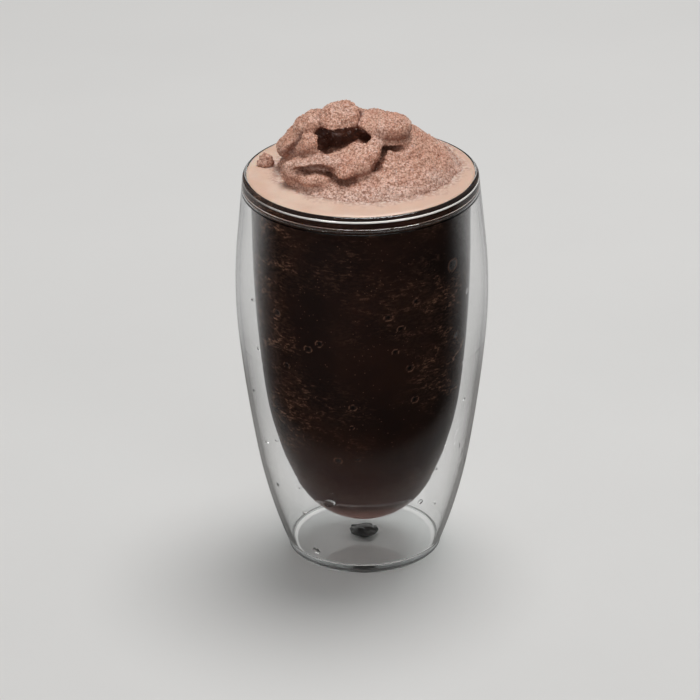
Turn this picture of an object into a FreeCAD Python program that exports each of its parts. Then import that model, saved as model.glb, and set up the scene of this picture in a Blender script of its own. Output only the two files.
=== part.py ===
"""A chocolate milkshake in a double-walled glass tumbler, filled to the brim and heaped with icy slush.

Millimetres, +Z up, origin at the middle of the foot ring, on the surface that the glass stands on.

glass        one blown piece: outer wall, inner bowl, rolled rim, and a base with a small vent hole
vent_plug    silicone plug that closes the vent hole
shake        the drink, which fills the bowl
froth        the smooth tan layer at the brim
slush_crown  the heap of icy slush, with its fold, ledge, pocket and hollow
peak_lump    the lump that lies on top of the heap
rim_crumb    the small cluster that lies apart, on the froth near the rim
"""
import FreeCAD, Part
import math
import os

Vector = FreeCAD.Vector

# ---------------------------------------------------------------- driving dimensions
HEIGHT = 148.0            # foot to the crest of the rim
RIM_RADIUS = 42.5         # outside of the rolled rim
RIM_ROUND = 1.5           # half the thickness of the rim
BELLY_RADIUS = 45.8       # widest place of the outer wall
BELLY_HEIGHT = 103.5
BELLY_ARC = 195.0         # radius of the wall's curve there, in the outline
SHOULDER_LEAN = 6.0       # degrees inward, from the belly straight up to the rim
SIDE_ARC, SIDE_LEAN = 610.0, -5.56  # the long side: its curve, and its lean in degrees where it ends
LOW_ARC, LOW_LEAN = 199.0, -9.7     # the rounder stretch above the foot
OUTER_WALL = 1.6
FOOT_ROUND = (1.1, 2.0)   # width and height of the round between wall and foot
FOOT_WIDTH = 2.0          # width of the flat foot ring
BASE_THICKNESS = 2.2
BASE_HOLLOW = 1.0         # how far the underside is drawn up in the middle
FLOOR_ROUND = 1.6         # the cavity's floor turns up over this width
VENT_RADIUS = 2.5

BOWL_BOTTOM = 12.0        # underside of the inner bowl on the axis
BOWL_FLOOR_ARC = 27.4     # a ball-shaped bottom
BOWL_TURN_ARC, BOWL_TURN_LEAN = 121.8, -25.7  # then a slower curve from this lean
BOWL_SIDE_ARC, BOWL_SIDE_LEAN = 454.5, -7.2   # and a long side that ends upright
INNER_WALL = 1.8
FLARE_HEIGHT = 134.0      # above this the inside opens out to the rim
CAVITY_TOP = 143.6        # here the two walls have become one
CAVITY_ROUND = 2.4        # the top of the cavity closes within this height

FROTH_DEPTH = 1.2         # froth below the crest of the rim
FROTH_RISE = 0.5          # froth above the crest of the rim
FROTH_EDGE = 2.0          # width of the rounded edge of the froth
FROTH_LAP = 105.0         # where the froth ends on the round of the rim: its crest is at 90 degrees

PLUG_BUTTON = (5.3, 2.4)  # radius and height of the plug's button, inside the cavity
PLUG_BASE = 0.3           # underside of the plug

HEAP_CENTRE = (2.8, 3.5)  # middle of the heap's foot
HEAP_FOOT = 33.2          # radius of the heap's foot
HEAP_TOE = 1.9            # height of its blunt edge above the crest of the rim
HEAP_HEIGHT = 26.0        # of the cone that its flank follows
HEAP_CAP = 16.5           # the cone is rounded off here, under the folds
HEAP_LOW = 7.5            # how much lower the cone is on its low side
HEAP_LOW_SIDE = -125.0    # direction of the low side, degrees from +X
CELL = 1.9                # edge of a grid cell when the slush is meshed
FIRST_LEVEL = 0.75        # cells from the lowest layer of grid points up to the slush's flat foot
GRID_REACH = 41.8         # half the width of the grid
GRID_HEIGHT = 29.0        # its height above the froth

# Lumps and hollows of the slush, in the order in which they are put on or scooped out:
# what, centre (z from the crest of the rim), half sizes, yaw, pitch, roll, squareness, softness of the join
SLUSH = [
    ("add", (-17.0, 7.0, 7.5), (11.0, 11.0, 7.5), 0, 14, 0, 2.2, 3.0),      # left shoulder
    ("add", (-1.0, 9.0, 12.5), (14.0, 9.0, 6.5), 0, 0, 0, 2.2, 2.5),        # core under the peak
    ("cut", (-14.5, -12.5, 15.0), (13.0, 11.0, 6.5), 20, 10, 0, 2.0, 1.5),  # step above the ledge
    ("add", (0.2, -7.6, 12.2), (13.5, 8.6, 3.8), 66, 29, -5, 3.0, 0.8),     # fold that runs to the front
    ("add", (-2.4, -16.4, 8.4), (9.5, 4.2, 2.8), 30, 22, 0, 2.3, 2.2),      # lip of the fold
    ("add", (-15.0, -12.0, 8.4), (12.5, 5.2, 2.6), -4, 8, 0, 2.4, 1.4),     # ledge
    ("cut", (-17.6, -17.6, 7.3), (8.8, 4.6, 2.1), -10, 4, 0, 2.0, 1.0),     # pocket under the ledge
    ("cut", (-7.5, -20.0, 5.4), (5.4, 3.0, 1.1), 4, 6, 0, 2.0, 1.4),        # pocket under the lip
    ("add", (-16.2, -17.0, 4.2), (6.3, 3.9, 2.4), -4, 0, 0, 2.0, 1.2),      # small lump in the pocket
    ("add", (-23.6, -11.8, 4.4), (4.0, 3.8, 4.2), 0, 0, 0, 2.1, 2.2),       # foot of the ledge at its left end
    ("add", (-18.0, -5.0, 11.0), (4.8, 4.4, 6.0), 10, -14, 0, 2.5, 0.9),    # block behind the ledge
    ("add", (-16.5, 4.0, 16.8), (7.6, 6.5, 4.6), 4, 16, 0, 2.3, 0.8),       # upper left lobe
    ("add", (-23.5, 4.0, 11.4), (8.0, 5.5, 3.2), 4, 42, 0, 2.6, 1.0),       # lower left lobe
    ("cut", (-5.0, -0.8, 17.8), (13.6, 9.0, 4.8), 14, 28, 0, 2.3, 0.6),     # deep hollow under the peak
    ("add", (9.2, -1.4, 17.5), (9.0, 7.6, 4.6), 0, 2, 0, 2.3, 0.6),         # right lobe
    ("add", (1.0, 1.4, 19.5), (6.5, 5.0, 1.9), 0, 4, 8, 2.2, 1.2),          # bridge from the peak to the lobe
    ("cut", (-1.0, -5.6, 16.6), (7.0, 5.0, 2.0), 16, -14, 0, 2.3, 0.6),     # the hollow's right end, under the bridge
    ("cut", (10.6, -8.6, 12.8), (6.0, 2.2, 0.8), -8, -4, 0, 2.1, 1.4),     # shadow line under the right lobe
    ("cut", (6.6, -12.4, 10.2), (1.7, 6.0, 0.8), -24, 0, 33, 2.0, 1.8),      # groove along the fold
    ("add", (6.0, 20.0, 8.5), (9.0, 6.0, 4.2), -20, 0, 30, 2.2, 1.5),       # lobe at the back
    ("add", (-14.0, 19.0, 6.5), (8.0, 6.0, 4.6), 35, 0, 25, 2.2, 1.5),      # lobe at the back left
]
PEAK = [
    ("add", (-7.3, 0.6, 20.4), (7.4, 7.2, 3.5), 0, 3, 30, 2.3, 0.5),        # slab that leans to the front
    ("add", (-6.0, 3.4, 23.6), (4.3, 3.5, 2.5), 0, 0, 10, 2.2, 1.5),        # its crest
    ("cut", (-7.0, -7.4, 14.4), (12.0, 8.0, 4.0), 0, 0, 10, 2.4, 0.4),      # flat underside
]
CRUMB = [
    ("add", (-35.6, 5.9, 1.9), (2.1, 2.1, 1.9), 0, 0, 0, 2.2, 0.4),
    ("add", (-33.4, 6.6, 2.2), (2.1, 2.1, 2.1), 20, 0, 0, 2.1, 0.4),
    ("add", (-34.4, 6.2, 3.9), (1.9, 1.8, 1.6), 0, 15, 0, 2.0, 0.4),
    ("add", (-32.8, 5.0, 1.6), (1.6, 1.6, 1.5), 0, 0, 0, 2.0, 0.4),
]


# ---------------------------------------------------------------- outlines of the glass
def toward(centre, radius, lean):
    """The point at a distance from a centre; lean is the outline's lean there, 0 where it is upright."""
    a = math.radians(lean)
    return centre[0] + radius * math.cos(a), centre[1] + radius * math.sin(a)


def line(a, b):
    return Part.LineSegment(Vector(a[0], 0, a[1]), Vector(b[0], 0, b[1])).toShape()


def arc(a, middle, b):
    return Part.Arc(*[Vector(r, 0, z) for r, z in (a, middle, b)]).toShape()


def arc_about(centre, radius, first, last):
    """The arc about a centre from one lean to another."""
    leans = (first, (first + last) / 2, last)
    return arc(*[toward(centre, radius, lean) for lean in leans])


def lean_at(centre, radius, height):
    """The lean of an arc where it reaches a height."""
    return math.degrees(math.asin((height - centre[1]) / radius))


def outer_centres():
    """Centres of the outer wall's three arcs, which meet without a corner."""
    belly = (BELLY_RADIUS - BELLY_ARC, BELLY_HEIGHT)
    side = toward(belly, BELLY_ARC - SIDE_ARC, SIDE_LEAN)
    return belly, side, toward(side, SIDE_ARC - LOW_ARC, LOW_LEAN)


def outer_side(inset, bottom):
    """The arcs of the outer wall, or beside it by the inset, from a height up to the shoulder."""
    belly, side, low = outer_centres()
    first = lean_at(low, LOW_ARC - inset, bottom)
    return [
        arc_about(low, LOW_ARC - inset, first, LOW_LEAN),
        arc_about(side, SIDE_ARC - inset, LOW_LEAN, SIDE_LEAN),
        arc_about(belly, BELLY_ARC - inset, SIDE_LEAN, SHOULDER_LEAN),
    ], toward(low, LOW_ARC - inset, first), toward(belly, BELLY_ARC - inset, SHOULDER_LEAN)


def bowl_side(inset):
    """The outline of the bowl, or inside it by the inset, from the axis up to where it stands upright."""
    floor = (0.0, BOWL_BOTTOM + BOWL_FLOOR_ARC)
    bend = toward(floor, BOWL_FLOOR_ARC - BOWL_TURN_ARC, BOWL_TURN_LEAN)
    side = toward(bend, BOWL_TURN_ARC - BOWL_SIDE_ARC, BOWL_SIDE_LEAN)
    return [
        arc_about(floor, BOWL_FLOOR_ARC - inset, -90.0, BOWL_TURN_LEAN),
        arc_about(bend, BOWL_TURN_ARC - inset, BOWL_TURN_LEAN, BOWL_SIDE_LEAN),
        arc_about(side, BOWL_SIDE_ARC - inset, BOWL_SIDE_LEAN, 0.0),
    ], toward(side, BOWL_SIDE_ARC - inset, 0.0)


def flare():
    """Two arcs that lead the inside of the bowl out to the rim: low centre, high centre, radius, lean."""
    wall = bowl_side(INNER_WALL)[1][0]
    rim = rim_point(180)
    half_out, half_up = (rim[0] - wall) / 2, (rim[1] - FLARE_HEIGHT) / 2
    radius = (half_out ** 2 + half_up ** 2) / (2 * half_out)
    lean = math.degrees(math.asin(half_up / radius))
    return (wall + radius, FLARE_HEIGHT), (rim[0] - radius, rim[1]), radius, lean


def lower_inside():
    """The inside of the glass from the axis to the middle of the flare."""
    edges, top = bowl_side(INNER_WALL)
    low, _, radius, lean = flare()
    return edges + [line(top, (top[0], FLARE_HEIGHT)), arc_about(low, radius, 180.0, 180.0 - lean)]


def rim_point(angle):
    """A point on the round of the rim: 180 degrees is its inner edge, 90 its crest, 0 its outer edge."""
    return toward((RIM_RADIUS - RIM_ROUND, HEIGHT - RIM_ROUND), RIM_ROUND, angle)


def turned(edges):
    """The solid that a closed chain of edges makes when it is turned about the axis."""
    wire = Part.Wire(Part.__sortEdges__(edges))
    return Part.Face(wire).revolve(Vector(0, 0, 0), Vector(0, 0, 1), 360)


# ---------------------------------------------------------------- the glass and what fills it
def make_glass():
    """Both walls, rim, cavity, base and vent hole as one turned outline."""
    _, flare_centre, flare_radius, flare_lean = flare()
    outside, wall_foot, shoulder = outer_side(0.0, FOOT_ROUND[1])
    floor = BASE_HOLLOW + BASE_THICKNESS
    cavity, cavity_foot, cavity_shoulder = outer_side(OUTER_WALL, floor + FLOOR_ROUND)
    bowl, bowl_top = bowl_side(0.0)
    close = CAVITY_TOP - CAVITY_ROUND
    straight = rim_point(SHOULDER_LEAN)
    share = (close - shoulder[1]) / (straight[1] - shoulder[1])
    cavity_end = (cavity_shoulder[0] + share * (straight[0] - shoulder[0]), close)
    crest = ((cavity_end[0] + bowl_top[0]) / 2, CAVITY_TOP)
    foot_out = (wall_foot[0] - FOOT_ROUND[0], 0.0)
    foot_in = (foot_out[0] - FOOT_WIDTH, 0.0)
    foot_middle = (wall_foot[0] - 0.25 * FOOT_ROUND[0], 0.35 * FOOT_ROUND[1])
    vent_low, vent_high = (VENT_RADIUS, BASE_HOLLOW), (VENT_RADIUS, floor)
    floor_edge = (cavity_foot[0] - FLOOR_ROUND, floor)
    floor_middle = (cavity_foot[0] - 0.35 * FLOOR_ROUND, floor + 0.3 * FLOOR_ROUND)
    return turned(lower_inside() + [
        arc_about(flare_centre, flare_radius, -flare_lean, 0.0),
        arc(rim_point(180), rim_point(90), straight),
        line(straight, shoulder),
    ] + outside + [
        arc(wall_foot, foot_middle, foot_out),
        line(foot_out, foot_in),
        arc(foot_in, (foot_in[0] / 2, BASE_HOLLOW * 0.8), vent_low),
        line(vent_low, vent_high),
        line(vent_high, floor_edge),
        arc(floor_edge, floor_middle, cavity_foot),
    ] + cavity + [
        line(cavity_shoulder, cavity_end),
        arc(cavity_end, crest, (bowl_top[0], close)),
        line((bowl_top[0], close), bowl_top),
    ] + bowl + [
        line((0.0, BOWL_BOTTOM), (0.0, BOWL_BOTTOM + INNER_WALL)),
    ])


def make_vent_plug():
    """A stem that fills the vent hole, under a rounded button on the floor of the cavity."""
    floor = BASE_HOLLOW + BASE_THICKNESS
    radius, height = PLUG_BUTTON
    shoulder = (radius, floor + 0.45 * height)
    round_middle = (radius - 0.2 * radius, floor + 0.87 * height)
    top = (radius / 2, floor + height)
    stem_foot, stem_side = (VENT_RADIUS - 0.4, PLUG_BASE), (VENT_RADIUS, PLUG_BASE + 0.4)
    outline = [(0.0, PLUG_BASE), stem_foot, stem_side, (VENT_RADIUS, floor), (radius, floor), shoulder]
    edges = [line(a, b) for a, b in zip(outline, outline[1:])]
    edges += [arc(shoulder, round_middle, top), line(top, (0.0, top[1])), line((0.0, top[1]), outline[0])]
    return turned(edges)


def make_shake():
    """The drink: everything in the bowl below the froth."""
    _, centre, radius, lean = flare()
    level = HEIGHT - FROTH_DEPTH
    edge = lean_at(centre, radius, level)
    return turned(lower_inside() + [
        arc_about(centre, radius, -lean, edge),
        line(toward(centre, radius, edge), (0.0, level)),
        line((0.0, level), (0.0, BOWL_BOTTOM + INNER_WALL)),
    ])


def make_froth():
    """The layer at the brim, which laps onto the inner round of the rim and stands a little proud."""
    _, centre, radius, _ = flare()
    level, top = HEIGHT - FROTH_DEPTH, HEIGHT + FROTH_RISE
    edge = lean_at(centre, radius, level)
    lap = rim_point(FROTH_LAP)
    flat = (lap[0] - FROTH_EDGE, top)
    bulge = (lap[0] - 0.38 * FROTH_EDGE, lap[1] + 0.78 * (top - lap[1]))
    return turned([
        line((0.0, level), toward(centre, radius, edge)),
        arc_about(centre, radius, edge, 0.0),
        arc(rim_point(180), rim_point((180 + FROTH_LAP) / 2), lap),
        arc(lap, bulge, flat),
        line(flat, (0.0, top)),
        line((0.0, top), (0.0, level)),
    ])


# ---------------------------------------------------------------- the form of the slush
def turn(a, b, degrees):
    c, s = math.cos(math.radians(degrees)), math.sin(math.radians(degrees))
    return c * a + s * b, c * b - s * a


def lump(x, y, z, centre, half, yaw, pitch, roll, square):
    """About how far a point is from a turned, rounded lump: negative inside."""
    x, y, z = x - centre[0], y - centre[1], z - centre[2]
    x, y = turn(x, y, yaw)
    x, z = turn(x, z, pitch)
    y, z = turn(y, z, roll)
    a, b, c = abs(x / half[0]), abs(y / half[1]), abs(z / half[2])
    size = (a ** square + b ** square + c ** square) ** (1.0 / square)
    steep = math.sqrt((a / half[0]) ** 2 + (b / half[1]) ** 2 + (c / half[2]) ** 2) + 1e-9
    return (size - 1.0) * math.sqrt(a * a + b * b + c * c) / steep


def soft_min(a, b, k):
    h = max(k - abs(a - b), 0.0) / k
    return min(a, b) - h * h * k / 4


def soft_max(a, b, k):
    return -soft_min(-a, -b, k)


def heap(x, y, z):
    """The plain cone of the heap: lower and flatter on its low side, rounded off at the top."""
    dx, dy = x - HEAP_CENTRE[0], y - HEAP_CENTRE[1]
    r = math.hypot(dx, dy)
    low = max(math.cos(math.atan2(dy, dx) - math.radians(HEAP_LOW_SIDE)), 0.0) ** 2
    share = max(1.0 - r / HEAP_FOOT, 0.0)
    top = (HEAP_HEIGHT - HEAP_LOW * low) * share ** (1.12 + 0.30 * low)
    top = soft_min(top, HEAP_CAP, 3.0) + HEAP_TOE - 3.0 * max(r - HEAP_FOOT, 0.0)
    return (z - top) * 0.84


def unevenness(x, y, z):
    """Gentle bumps, a few millimetres across."""
    broad = math.sin(0.61 * x + 1.3) * math.sin(0.53 * y + 0.4) * math.sin(0.67 * z + 2.1)
    small = math.sin(1.13 * x - 0.4 * y + 0.7) * math.sin(1.21 * y + 0.3 * z) * math.cos(1.07 * z + 0.5 * x)
    return 0.60 * broad + 0.12 * small


def sculpt(distance, steps, x, y, z):
    """Puts the lumps on and scoops the hollows out, in order."""
    for what, centre, half, yaw, pitch, roll, square, soft in steps:
        d = lump(x, y, z, centre, half, yaw, pitch, roll, square)
        if what == "add":
            distance = soft_min(distance, d, soft)
        else:
            distance = soft_max(distance, -d, soft)
    return distance


def slush_fields(x, y, z):
    """Distances to the crown, the peak lump and the crumb at one point."""
    bumps = unevenness(x, y, z)
    crown = sculpt(heap(x, y, z), SLUSH, x, y, z)
    peak = sculpt(1e3, PEAK, x, y, z)
    crumb = sculpt(1e3, CRUMB, x, y, z)
    return crown + bumps * min(1.0, max(z, 0.0) / 4.0), peak + bumps, crumb + bumps


# ---------------------------------------------------------------- meshing the slush
CORNERS = [(i, j, k) for i in (0, 1) for j in (0, 1) for k in (0, 1)]
CELL_EDGES = [(a, b) for a in range(8) for b in range(a + 1, 8)
              if sum(abs(CORNERS[a][n] - CORNERS[b][n]) for n in range(3)) == 1]


def connected(members):
    """Whether the chosen corners of a cell hang together along its edges."""
    members = set(members)
    if not members:
        return True
    reached, waiting = set(), [min(members)]
    while waiting:
        corner = waiting.pop()
        reached.add(corner)
        for a, b in CELL_EDGES:
            other = b if a == corner else a if b == corner else None
            if other in members and other not in reached:
                waiting.append(other)
    return reached == members


class SlushGrid:
    """A grid of points, each labelled with the piece it lies in: 0 none, 1 crown, 2 peak, 3 crumb.

    The lowest layer of points lies under the flat foot of the slush and belongs to no piece.
    Each cell that a border passes through has one point on it, shared by all pieces that meet there,
    so that neighbours meet face to face.
    """

    def __init__(self):
        self.count = int(2 * GRID_REACH / CELL) + 1
        self.levels = int(GRID_HEIGHT / CELL) + 2
        self.value, self.label = {}, {}
        for i in range(self.count):
            for j in range(self.count):
                for k in range(self.levels):
                    self.sample(i, j, k)
        for piece in (1, 2, 3):
            self.drop_islands(piece, 0)
        self.drop_islands(0, 1)
        self.repair()

    def place(self, i, j, k):
        return (-GRID_REACH + CELL * i, -GRID_REACH + CELL * j, FROTH_RISE + CELL * (k - FIRST_LEVEL))

    def sample(self, i, j, k):
        fields = slush_fields(*self.place(i, j, k))
        self.value[i, j, k] = fields
        order = (2, 3, 1)
        inside = [n for n in order if fields[n - 1] < 0.0]
        self.label[i, j, k] = inside[0] if inside and k > 0 else 0

    def drop_islands(self, piece, instead):
        """Keeps only the largest connected body of a piece; the rest becomes another label."""
        left = {p for p, label in self.label.items() if label == piece}
        bodies = []
        while left:
            waiting, body = [left.pop()], []
            while waiting:
                i, j, k = waiting.pop()
                body.append((i, j, k))
                for p in ((i + 1, j, k), (i - 1, j, k), (i, j + 1, k), (i, j - 1, k), (i, j, k + 1), (i, j, k - 1)):
                    if p in left:
                        left.remove(p)
                        waiting.append(p)
            bodies.append(body)
        for body in sorted(bodies, key=len)[:-1]:
            for p in body:
                self.label[p] = instead

    def cells(self):
        for i in range(self.count - 1):
            for j in range(self.count - 1):
                for k in range(self.levels - 1):
                    yield i, j, k

    def repair(self):
        """Fills in corners until every piece passes through each cell as one sheet."""
        changed = True
        while changed:
            changed = False
            for i, j, k in self.cells():
                points = [(i + a, j + b, k + c) for a, b, c in CORNERS]
                labels = [self.label[p] for p in points]
                for piece in set(labels) - {0}:
                    inside = [n for n in range(8) if labels[n] == piece]
                    outside = [n for n in range(8) if labels[n] != piece]
                    if connected(inside) and connected(outside):
                        continue
                    for n in outside:
                        if points[n][2] > 0:
                            self.label[points[n]] = piece
                    changed = True
                    break

    def border_point(self, cell):
        """The middle of the places where the borders cross the edges of a cell."""
        i, j, k = cell
        total, crossings = [0.0, 0.0, 0.0], 0
        for a, b in CELL_EDGES:
            p = (i + CORNERS[a][0], j + CORNERS[a][1], k + CORNERS[a][2])
            q = (i + CORNERS[b][0], j + CORNERS[b][1], k + CORNERS[b][2])
            if self.label[p] == self.label[q]:
                continue
            pair = (self.label[p], self.label[q])
            piece = 2 if 2 in pair else 3 if 3 in pair else 1
            fp, fq = self.value[p][piece - 1], self.value[q][piece - 1]
            share = fp / (fp - fq) if fp * fq < 0.0 else 0.5
            share = min(max(share, 0.08), 0.92)
            for n, (u, v) in enumerate(zip(self.place(*p), self.place(*q))):
                total[n] += u + (v - u) * share
            crossings += 1
        x, y, z = [t / crossings for t in total]
        return Vector(x, y, HEIGHT + (FROTH_RISE if k == 0 else z))

    def quads(self, piece):
        """Border quads of a piece, facing out, each with whether it lies in the flat foot."""
        found = []
        for point, label in self.label.items():
            for axis in range(3):
                other = tuple(point[n] + (1 if n == axis else 0) for n in range(3))
                if other not in self.label or self.label[other] == label:
                    continue
                if piece not in (label, self.label[other]):
                    continue
                u, v = (axis + 1) % 3, (axis + 2) % 3
                ring = []
                for du, dv in ((0, 0), (-1, 0), (-1, -1), (0, -1)):
                    cell = list(point)
                    cell[u] += du
                    cell[v] += dv
                    ring.append(tuple(cell))
                if label != piece:
                    ring = [ring[0]] + ring[:0:-1]
                found.append((ring, axis == 2 and point[2] == 0))
        return found


def make_slush(grid, piece):
    """A solid of flat triangles over the borders of a piece, on one flat foot face."""
    points = {}
    triangles, foot_edges = [], {}
    for ring, in_foot in grid.quads(piece):
        for cell in ring:
            if cell not in points:
                points[cell] = grid.border_point(cell)
        if in_foot:
            for a, b in zip(ring, ring[1:] + ring[:1]):
                if (b, a) in foot_edges:
                    del foot_edges[b, a]
                else:
                    foot_edges[a, b] = True
            continue
        first = min(range(4), key=lambda n: ring[n])
        a, b, c, d = ring[first:] + ring[:first]
        triangles += [(a, b, c), (a, c, d)]
    faces = [Part.Face(Part.makePolygon([points[n] for n in (a, b, c, a)])) for a, b, c in triangles]
    if foot_edges:
        after = dict(foot_edges.keys())
        start = min(after)
        outline, cell = [points[start]], after[start]
        while cell != start:
            outline.append(points[cell])
            cell = after[cell]
        faces.append(Part.Face(Part.makePolygon(outline + outline[:1])))
    shell = Part.makeShell(faces)
    shell.sewShape()
    solid = Part.makeSolid(shell.Shells[0])
    if solid.Volume < 0:
        solid.reverse()
    return solid


# ---------------------------------------------------------------- writing the nodes
def main():
    os.makedirs("parts", exist_ok=True)
    grid = SlushGrid()
    nodes = {
        "glass": make_glass(),
        "vent_plug": make_vent_plug(),
        "shake": make_shake(),
        "froth": make_froth(),
        "slush_crown": make_slush(grid, 1),
        "peak_lump": make_slush(grid, 2),
        "rim_crumb": make_slush(grid, 3),
    }
    for name, shape in nodes.items():
        shape.exportStep("parts/%s.step" % name)
        box = shape.BoundBox
        print("%-12s %-6s valid %-5s volume %9.1f faces %5d  x %6.1f %6.1f  y %6.1f %6.1f  z %6.1f %6.1f" % (
            name, shape.ShapeType, shape.isValid(), shape.Volume, len(shape.Faces),
            box.XMin, box.XMax, box.YMin, box.YMax, box.ZMin, box.ZMax))


main()
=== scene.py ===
# %% [markdown]
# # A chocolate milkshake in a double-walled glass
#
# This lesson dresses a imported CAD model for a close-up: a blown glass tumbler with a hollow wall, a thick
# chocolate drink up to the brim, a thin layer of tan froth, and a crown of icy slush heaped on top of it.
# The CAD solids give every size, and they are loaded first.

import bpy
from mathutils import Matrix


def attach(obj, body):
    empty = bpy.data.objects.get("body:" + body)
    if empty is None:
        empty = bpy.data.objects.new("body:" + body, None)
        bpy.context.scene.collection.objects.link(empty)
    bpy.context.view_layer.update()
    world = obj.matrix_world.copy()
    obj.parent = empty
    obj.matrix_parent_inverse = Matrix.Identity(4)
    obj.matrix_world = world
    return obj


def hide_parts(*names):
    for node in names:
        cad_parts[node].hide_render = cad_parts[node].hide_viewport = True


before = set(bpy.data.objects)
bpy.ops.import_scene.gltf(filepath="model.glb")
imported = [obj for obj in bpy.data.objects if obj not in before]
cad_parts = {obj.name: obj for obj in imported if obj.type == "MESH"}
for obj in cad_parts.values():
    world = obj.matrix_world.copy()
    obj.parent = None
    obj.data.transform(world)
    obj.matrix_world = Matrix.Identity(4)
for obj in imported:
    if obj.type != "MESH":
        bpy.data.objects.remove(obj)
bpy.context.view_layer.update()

import math

import bmesh
import bpy
import numpy as np
import openvdb
from mathutils import Matrix, Vector

MM = 0.001

# %% [markdown]
# ## The camera
#
# A tall glass looks natural through a long lens from a little above its rim, because its sides stay nearly
# parallel and the whole heap of slush shows. A tracking constraint could aim the camera; here its matrix is
# worked out, so that it can also be tipped by a fraction of a degree, as a hand-held camera is.

# %% Camera
CAMERA_DISTANCE = 1.6          # metres from the middle of the glass
CAMERA_ELEVATION = math.radians(25.2)
CAMERA_ROLL = math.radians(0.7)
CAMERA_LENS = 225.3
GLASS_MIDDLE = Vector((0.0, 0.0, 0.075))
AIM = Vector((-0.0046, 0.0, 0.0776))


def make_camera():
    back = Vector((0.0, -math.cos(CAMERA_ELEVATION), math.sin(CAMERA_ELEVATION)))
    data = bpy.data.cameras.new("camera")
    data.lens = CAMERA_LENS
    data.sensor_width = 36.0
    data.clip_start, data.clip_end = 0.01, 100.0
    camera = bpy.data.objects.new("camera", data)
    place = GLASS_MIDDLE + back * CAMERA_DISTANCE
    look = (AIM - place).to_track_quat("-Z", "Y").to_matrix().to_4x4()
    camera.matrix_world = Matrix.Translation(place) @ look @ Matrix.Rotation(-CAMERA_ROLL, 4, "Z")
    bpy.context.scene.collection.objects.link(camera)
    bpy.context.scene.camera = camera
    return camera


camera = make_camera()
bpy.context.scene.view_settings.view_transform = "Standard"
print("camera at", [round(v, 3) for v in camera.matrix_world.translation])

# %% [markdown]
# ## A short way to write nodes
#
# Shader and geometry trees are long when every Math node is added and linked by hand. Here a small class
# wraps one output socket, so that `1 - mask * 0.5` adds its own Math nodes. One method adds any other node:
# it applies the settings first, because they decide which sockets exist, and then fills the sockets.

# %% Node helper
class Wire:
    """One output socket. Arithmetic on it adds Math nodes to its tree."""

    def __init__(self, tree, socket):
        self.tree, self.socket = tree, socket

    def out(self, name):
        """Another output of the same node."""
        return Wire(self.tree, self.socket.node.outputs[name])

    def __abs__(self):
        return self.tree.math("ABSOLUTE", self)

    def __gt__(self, other):
        return self.tree.math("GREATER_THAN", self, other)


for sign, operation in (("add", "ADD"), ("sub", "SUBTRACT"), ("mul", "MULTIPLY"), ("truediv", "DIVIDE")):
    setattr(Wire, f"__{sign}__", lambda a, b, kind=operation: a.tree.math(kind, a, b))
    setattr(Wire, f"__r{sign}__", lambda a, b, kind=operation: a.tree.math(kind, b, a))


class Tree:
    """A node tree and its one way of adding a node."""

    def __init__(self, nodes):
        self.nodes = nodes

    def node(self, kind, inputs=None, **settings):
        made = self.nodes.nodes.new(kind)
        for name, value in settings.items():
            if name == "stops":
                for spare in list(made.color_ramp.elements)[1:]:
                    made.color_ramp.elements.remove(spare)
                made.color_ramp.elements[0].position = value[0][0]
                made.color_ramp.elements[0].color = (*value[0][1], 1)
                for place, colour in value[1:]:
                    made.color_ramp.elements.new(place).color = (*colour, 1)
            else:
                setattr(made, name, value)
        for name, value in (inputs or {}).items():
            self.fill(made.inputs[name], value)
        first = next((s for s in made.outputs if s.enabled), None)
        return Wire(self, first) if first else made

    def fill(self, socket, value):
        if isinstance(value, Wire):
            self.nodes.links.new(value.socket, socket)
        elif isinstance(value, (list, tuple)) and len(value) == 3 and socket.type == "RGBA":
            socket.default_value = (*value, 1)
        else:
            socket.default_value = value

    def math(self, operation, *values):
        return self.node("ShaderNodeMath", dict(enumerate(values)), operation=operation)

    def vector(self, operation, *values):
        return self.node("ShaderNodeVectorMath", dict(enumerate(values)), operation=operation)

    def scaled(self, vector, amount):
        """A vector, longer or shorter."""
        return self.node("ShaderNodeVectorMath", {0: vector, "Scale": amount}, operation="SCALE")

    def part(self, place, axis):
        """One of the three numbers of a vector."""
        return self.node("ShaderNodeSeparateXYZ", {"Vector": place}).out(axis)

    def mix(self, factor, a, b):
        """A mix of two colours. The node has one output for each kind of data; the third is the colour."""
        made = self.node("ShaderNodeMix", {0: factor, 6: a, 7: b}, data_type="RGBA")
        return Wire(self, made.socket.node.outputs[2])

    def ramp(self, value, low, high, start=0.0, end=1.0):
        """The value eased from start at low to end at high."""
        return self.node("ShaderNodeMapRange", {
            "Value": value, "From Min": low, "From Max": high, "To Min": start, "To Max": end},
            interpolation_type="SMOOTHSTEP")

    def noise(self, place, scale, detail=2.0, roughness=0.5):
        return self.node("ShaderNodeTexNoise", {
            "Vector": place, "Scale": scale, "Detail": detail, "Roughness": roughness})

    def cells(self, place, scale):
        """The distance to the nearest of many scattered points."""
        return self.node("ShaderNodeTexVoronoi", {"Vector": place, "Scale": scale})

    def bump(self, height, distance, strength):
        return self.node("ShaderNodeBump", {"Height": height, "Distance": distance, "Strength": strength})

    def painted(self, name):
        """A number that the mesh carries at each of its points."""
        return self.node("ShaderNodeAttribute", attribute_name=name).out("Fac")


def srgb(red, green, blue):
    """A colour as picked on screen, 0 to 255, in the linear numbers that a shader wants."""
    def linear(v):
        v /= 255
        return v / 12.92 if v <= 0.04045 else ((v + 0.055) / 1.055) ** 2.4
    return linear(red), linear(green), linear(blue)


print("node helper ready; mid grey is", round(srgb(128, 128, 128)[0], 3))

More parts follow.
